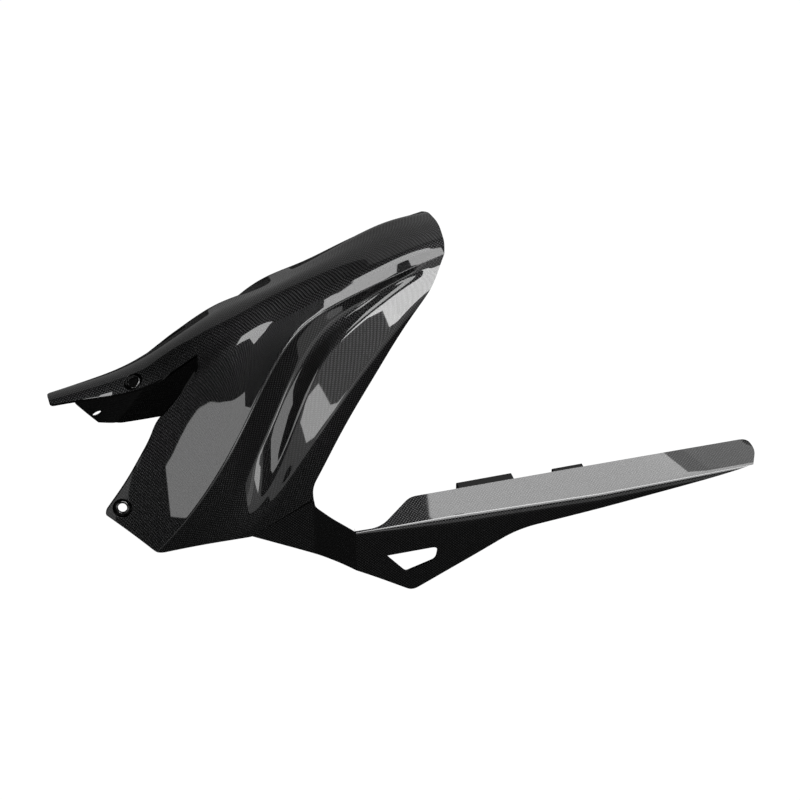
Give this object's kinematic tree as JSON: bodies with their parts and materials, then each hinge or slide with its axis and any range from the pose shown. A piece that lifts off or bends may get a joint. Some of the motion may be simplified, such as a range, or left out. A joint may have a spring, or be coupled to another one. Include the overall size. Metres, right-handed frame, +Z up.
{
  "type": "motorcycle rear fender",
  "caption": "Woven carbon rear tyre hugger with creased side panels, a bolted front tongue and legs, and an integral chain guard along the left side.",
  "frame": {"origin": "middle of the wall of the tongue's bolt hole", "axes": "+X rearward along the motorcycle, +Y to the rider's right, +Z up"},
  "size_m": [0.7076, 0.2446, 0.3558],
  "materials": {
    "carbon_laminate": "clear-coated plain weave",
    "bracket_plastic": "moulded black"
  },
  "bodies": {
    "root": {"fender": "carbon_laminate", "front_guard_bracket": "bracket_plastic", "rear_guard_bracket": "bracket_plastic"}
  },
  "joints": []
}
